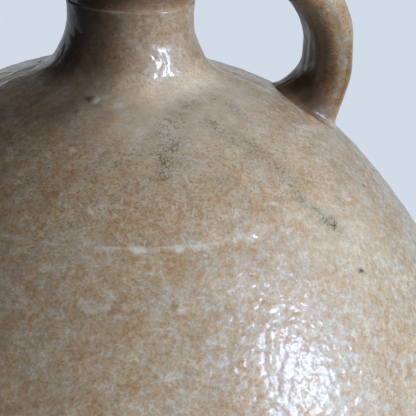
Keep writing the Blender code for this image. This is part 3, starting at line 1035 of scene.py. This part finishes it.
def marked(tree, where, brown, colour):
    """The colour under painted light, flecks, rust, pale glaze, green veins, dark spots and painted shade."""
    # Painted light on the upper shoulder
    colour = mixed(tree, scaled(tree, layer(tree, "painted_light"), PAINTED_LIGHT_SHARE), colour, PAINTED_LIGHT)
    flecks = spotted(tree, where, FLECK_SPOTS)
    colour = mixed(tree, scaled(tree, flecks, FLECK_SHARE), colour, FLECK)
    rust_share = sloped(tree, brown, RUST_PER_BROWN, RUST_SHARE)
    colour = mixed(tree, scaled(tree, spotted(tree, where, RUST_SPOTS), rust_share), colour, RUST)
    ragged = sloped(tree, noisy(tree, where, RAGGED_NOISE), RAGGED_SWING, layer(tree, "pale"))
    colour = mixed(tree, ramped(tree, ragged, *RAGGED_RANGE), colour, PALE)
    green = layer(tree, "green")
    colour = mixed(tree, scaled(tree, green, OLIVE_SHARE), colour, OLIVE)
    specks = scaled(tree, spotted(tree, where, SPECK_SPOTS), SPECK_SHARE)
    veins = computed(tree, "MAXIMUM", crackled(tree, where), specks)
    colour = mixed(tree, scaled(tree, green, scaled(tree, veins, MOSS_SHARE)), colour, MOSS)
    freckles = scaled(tree, spotted(tree, where, FRECKLE_SPOTS), FRECKLE_SHARE)
    # Dark marks and freckles, and painted shade and painted shadow
    dark = computed(tree, "MAXIMUM", layer(tree, "dark"), freckles)
    return mixed(tree, dark, colour, IRON_AND_SHADE)


def pit(tree, where, shader):
    """Gives the clear coat its orange peel, and the clay under it a faint one."""
    pits = {"Vector": where, "Scale": 1 / PIT_SIZE, "Smoothness": PIT_SMOOTHNESS}
    cells = node(tree, "TexVoronoi", pits, feature="SMOOTH_F1").outputs["Distance"]
    height = sloped(tree, cells, PIT_SHARE, noisy(tree, where, BUMP_NOISE))
    coat_depth = sloped(tree, layer(tree, "calm"), CALM_BUMP_LOSS, COAT_BUMP)
    for target, depth in (("Coat Normal", coat_depth), ("Normal", CLAY_BUMP)):
        bump = node(tree, "Bump", {"Strength": 1.0, "Distance": depth, "Height": height})
        tree.links.new(bump.outputs["Normal"], shader.inputs[target])


def new_material(name):
    """A new material, its nodes, its shader, and the object's own coordinates."""
    material = bpy.data.materials.new(name)
    material.use_nodes = True
    tree = material.node_tree
    return material, tree, tree.nodes["Principled BSDF"], node(tree, "TexCoord").outputs["Object"]


def glaze(name, shade):
    """Salt glaze: mottled clay under a clear skin that is pitted like orange peel."""
    material, tree, shader, where = new_material(name)
    brown = layer(tree, "brown")
    bare = layer(tree, "bare")
    colour = marked(tree, where, brown, clay_colour(tree, where, brown))
    colour = mixed(tree, scaled(tree, bare, BARE_SHARE), colour, BARE_CLAY)
    deep = mixed(tree, layer(tree, "deep"), WHITE, shade)
    settings = {
        "Base Color": mixed(tree, 1.0, colour, deep, "MULTIPLY"),
        "Roughness": sloped(tree, bare, BARE_ROUGHNESS_GAIN, CLAY_ROUGHNESS),
        "Coat Weight": sloped(tree, bare, -COAT_WEIGHT, COAT_WEIGHT),
        "Coat Roughness": COAT_ROUGHNESS,
        "Coat IOR": GLAZE_IOR,
        "IOR": GLAZE_IOR,
        "Specular IOR Level": SPECULAR_LEVEL,
    }
    for socket, value in settings.items():
        put(tree, shader.inputs[socket], value)
    pit(tree, where, shader)
    return material


def dress(piece, node_name, material):
    """Puts a skin in the place of its CAD node."""
    piece.data.materials.append(material)
    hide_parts(node_name)
    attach(piece, "root")


# The camera, as fitted to the photo's outlines
CAMERA_PLACE = Vector((-0.0688, -0.3902, 0.4116))
CAMERA_YAW = radians(14.14)
CAMERA_DIP = radians(22.61)
CAMERA_ROLL = radians(2.40)
SENSOR = 36.0
LENS = 103.86
CLIP_START = 0.01
CLIP_END = 50
VIEW_GAMMA = 0.8

# The studio walls: pale for the camera, and for the jug bright only behind it and low down
BACKDROP = rgb(0.71, 0.79, 0.885)
WALL_COLOUR = rgb(0.86, 0.93, 1.0)
WALL_AZIMUTH = radians(92)
WALL_EDGE = (0.72, 0.97)
WALL_TOP = (0.30, 0.0)
WALL_STRENGTH = 0.90
WALL_FOR_SHADING = 0.2
ROOM_GLOW = 0.02

# The floor: pale for the camera, and in the jug's reflections bright in two zones behind it. A zone is
# where its edge along Y and its edge along X start and are full.
FLOOR_HALF = 6.0
FLOOR_DROP = 0.0002
FLOOR_COLOUR = rgb(0.8, 0.8, 0.8)
FLOOR_ROUGHNESS = 0.9
FLOOR_DIM = rgb(0.06, 0.06, 0.06)
FLOOR_BRIGHT = rgb(0.55, 0.55, 0.55)
LEFT_ZONE = ((0.54, 0.74), (0.20, 0.02))
RIGHT_ZONE = ((0.15, 0.40), (0.19, 0.30))
SUN_STRENGTH = 3.25
SUN_ANGLE = radians(70)
SUN_COLOUR = (0.84, 0.91, 1.0)

# Area lights face the jug's shoulder from an azimuth round +Z that starts at +X. The windows only show in
# the glaze, and the others only shade it.
LIGHT_TARGET = Vector((0.0, 0.0, 0.25))
Lamp = namedtuple("Lamp", "azimuth elevation distance width height radiance colour")
WINDOWS = {
    "window": Lamp(-39, 23, 1.6, 0.38, 0.46, 14.0, (0.58, 0.72, 1.0)),
    "upper_window": Lamp(-38, 32, 1.6, 0.28, 0.22, 27.0, (0.56, 0.70, 1.0)),
    "glow": Lamp(-39, 23, 1.6, 0.9, 0.9, 1.7, (0.30, 0.45, 1.0)),
}
SOFT_LAMPS = {
    "key": Lamp(-49.5, 21, 2.0, 0.9, 0.8, 21.9, (1.0, 0.97, 0.925)),
    "side": Lamp(-20, 17, 2.0, 0.9, 0.8, 10.5, (0.45, 0.72, 1.0)),
    "back": Lamp(140, 8, 2.0, 1.0, 0.8, 1.4, (0.90, 0.95, 1.0)),
    "rear": Lamp(84, 8, 2.0, 1.3, 1.1, 9.0, (1.0, 0.99, 0.97)),
}


def make_camera():
    """The photo's camera."""
    forward = Vector((
        sin(CAMERA_YAW) * cos(CAMERA_DIP),
        cos(CAMERA_YAW) * cos(CAMERA_DIP),
        -sin(CAMERA_DIP),
    ))
    level_right = Vector((cos(CAMERA_YAW), -sin(CAMERA_YAW), 0))
    level_up = level_right.cross(forward)
    right = level_right * cos(CAMERA_ROLL) + level_up * sin(CAMERA_ROLL)
    up = level_up * cos(CAMERA_ROLL) - level_right * sin(CAMERA_ROLL)
    turned = Matrix((right, up, -forward)).transposed().to_4x4()
    camera = placed("camera", bpy.data.cameras.new("camera"))
    camera.matrix_world = Matrix.Translation(CAMERA_PLACE) @ turned
    camera.data.sensor_width = SENSOR
    camera.data.lens = LENS
    camera.data.clip_start = CLIP_START
    camera.data.clip_end = CLIP_END
    scene = bpy.context.scene
    scene.camera = camera
    scene.view_settings.view_transform = "Standard"
    scene.view_settings.gamma = VIEW_GAMMA


def make_world():
    """The studio walls: pale behind the jug, and dim on the camera's left."""
    world = bpy.data.worlds.new("studio")
    bpy.context.scene.world = world
    world.use_nodes = True
    tree = world.node_tree
    background = tree.nodes["Background"]
    way = node(tree, "TexCoord").outputs["Generated"]
    wall_way = (cos(WALL_AZIMUTH), sin(WALL_AZIMUTH), 0.0)
    towards = node(tree, "VectorMath", {0: way, 1: wall_way}, operation="DOT_PRODUCT")
    rise = node(tree, "SeparateXYZ", {"Vector": way}).outputs["Z"]
    path = node(tree, "LightPath")
    glossy = path.outputs["Is Glossy Ray"]
    facing = ramped(tree, towards.outputs["Value"], *WALL_EDGE)
    wall = scaled(tree, facing, ramped(tree, rise, *WALL_TOP))
    seen = scaled(tree, sloped(tree, glossy, 1 - WALL_FOR_SHADING, WALL_FOR_SHADING), WALL_STRENGTH)
    total = sloped(tree, wall, seen, ROOM_GLOW)
    lit = mixed(tree, 1.0, WALL_COLOUR, total, "MULTIPLY")
    colour = mixed(tree, path.outputs["Is Camera Ray"], lit, BACKDROP)
    tree.links.new(colour, background.inputs["Color"])
    background.inputs["Strength"].default_value = 1.0


def floor_paint():
    """A plain pale floor whose reflection in the jug is dim but for two zones."""
    material, tree, shader, where = new_material("floor_paint")
    spread = node(tree, "SeparateXYZ", {"Vector": where})
    path = node(tree, "LightPath")
    zones = [
        scaled(tree, ramped(tree, spread.outputs["Y"], *along_y), ramped(tree, spread.outputs["X"], *along_x))
        for along_y, along_x in (LEFT_ZONE, RIGHT_ZONE)
    ]
    lit = scaled(tree, computed(tree, "MAXIMUM", *zones), path.outputs["Is Glossy Ray"])
    behind = mixed(tree, lit, FLOOR_DIM, FLOOR_BRIGHT)
    colour = mixed(tree, path.outputs["Is Camera Ray"], behind, FLOOR_COLOUR)
    put(tree, shader.inputs["Base Color"], colour)
    put(tree, shader.inputs["Roughness"], FLOOR_ROUGHNESS)
    return material


def make_stage():
    """A pale floor with a soft light of its own."""
    mesh = bpy.data.meshes.new("floor")
    corners = [(-1, -1), (1, -1), (1, 1), (-1, 1)]
    places = [(x * FLOOR_HALF, y * FLOOR_HALF, 0) for x, y in corners]
    mesh.from_pydata(places, [], [(0, 1, 2, 3)])
    mesh.materials.append(floor_paint())
    floor = placed("floor", mesh)
    floor.location.z = -FLOOR_DROP
    lamp = bpy.data.lights.new("floor_light", "SUN")
    lamp.energy = SUN_STRENGTH
    lamp.angle = SUN_ANGLE
    lamp.color = SUN_COLOUR
    lights_only(placed("floor_light", lamp), [floor])


def area_light(name, lamp):
    """A soft light that the camera doesn't see."""
    azimuth, elevation = radians(lamp.azimuth), radians(lamp.elevation)
    way = Vector((
        cos(azimuth) * cos(elevation),
        sin(azimuth) * cos(elevation),
        sin(elevation),
    ))
    source = bpy.data.lights.new(name, "AREA")
    source.shape = "RECTANGLE"
    source.size = lamp.width
    source.size_y = lamp.height
    source.energy = lamp.radiance * pi * lamp.width * lamp.height
    source.color = lamp.colour
    light = placed(name, source)
    light.location = LIGHT_TARGET + way * lamp.distance
    light.rotation_euler = way.to_track_quat("Z", "Y").to_euler()
    light.visible_camera = False
    return light


def lights_only(light, pieces):
    """Lets a light reach the given pieces alone."""
    lit = bpy.data.collections.new(light.name + "_lit")
    for piece in pieces:
        lit.objects.link(piece)
    light.light_linking.receiver_collection = lit


def main():
    """Loads the frame, makes the studio and puts the four skins in the places of their solids."""
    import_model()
    make_camera()
    make_world()
    make_stage()
    windows = {name: area_light(name, lamp) for name, lamp in WINDOWS.items()}
    soft_lamps = {name: area_light(name, lamp) for name, lamp in SOFT_LAMPS.items()}
    for light in windows.values():
        light.visible_diffuse = False
    for light in soft_lamps.values():
        light.visible_glossy = False
    lower_body, shoulder, collar, handle = make_lower_body(), make_shoulder(), make_collar(), make_handle()
    for piece in (lower_body, shoulder, collar):
        paint(piece)
    dress(lower_body, "lower_body", glaze("body_glaze_salt", BODY_SHADE))
    dress(shoulder, "shoulder", glaze("shoulder_glaze_salt", BODY_SHADE))
    dress(collar, "neck_collar", glaze("collar_glaze_salt", COLLAR_SHADE))
    dress(handle, "handle", glaze("handle_glaze_salt", HANDLE_SHADE))
    lights_only(windows.pop("upper_window"), [shoulder])
    for light in (windows | soft_lamps).values():
        lights_only(light, [lower_body, shoulder, collar, handle])


main()
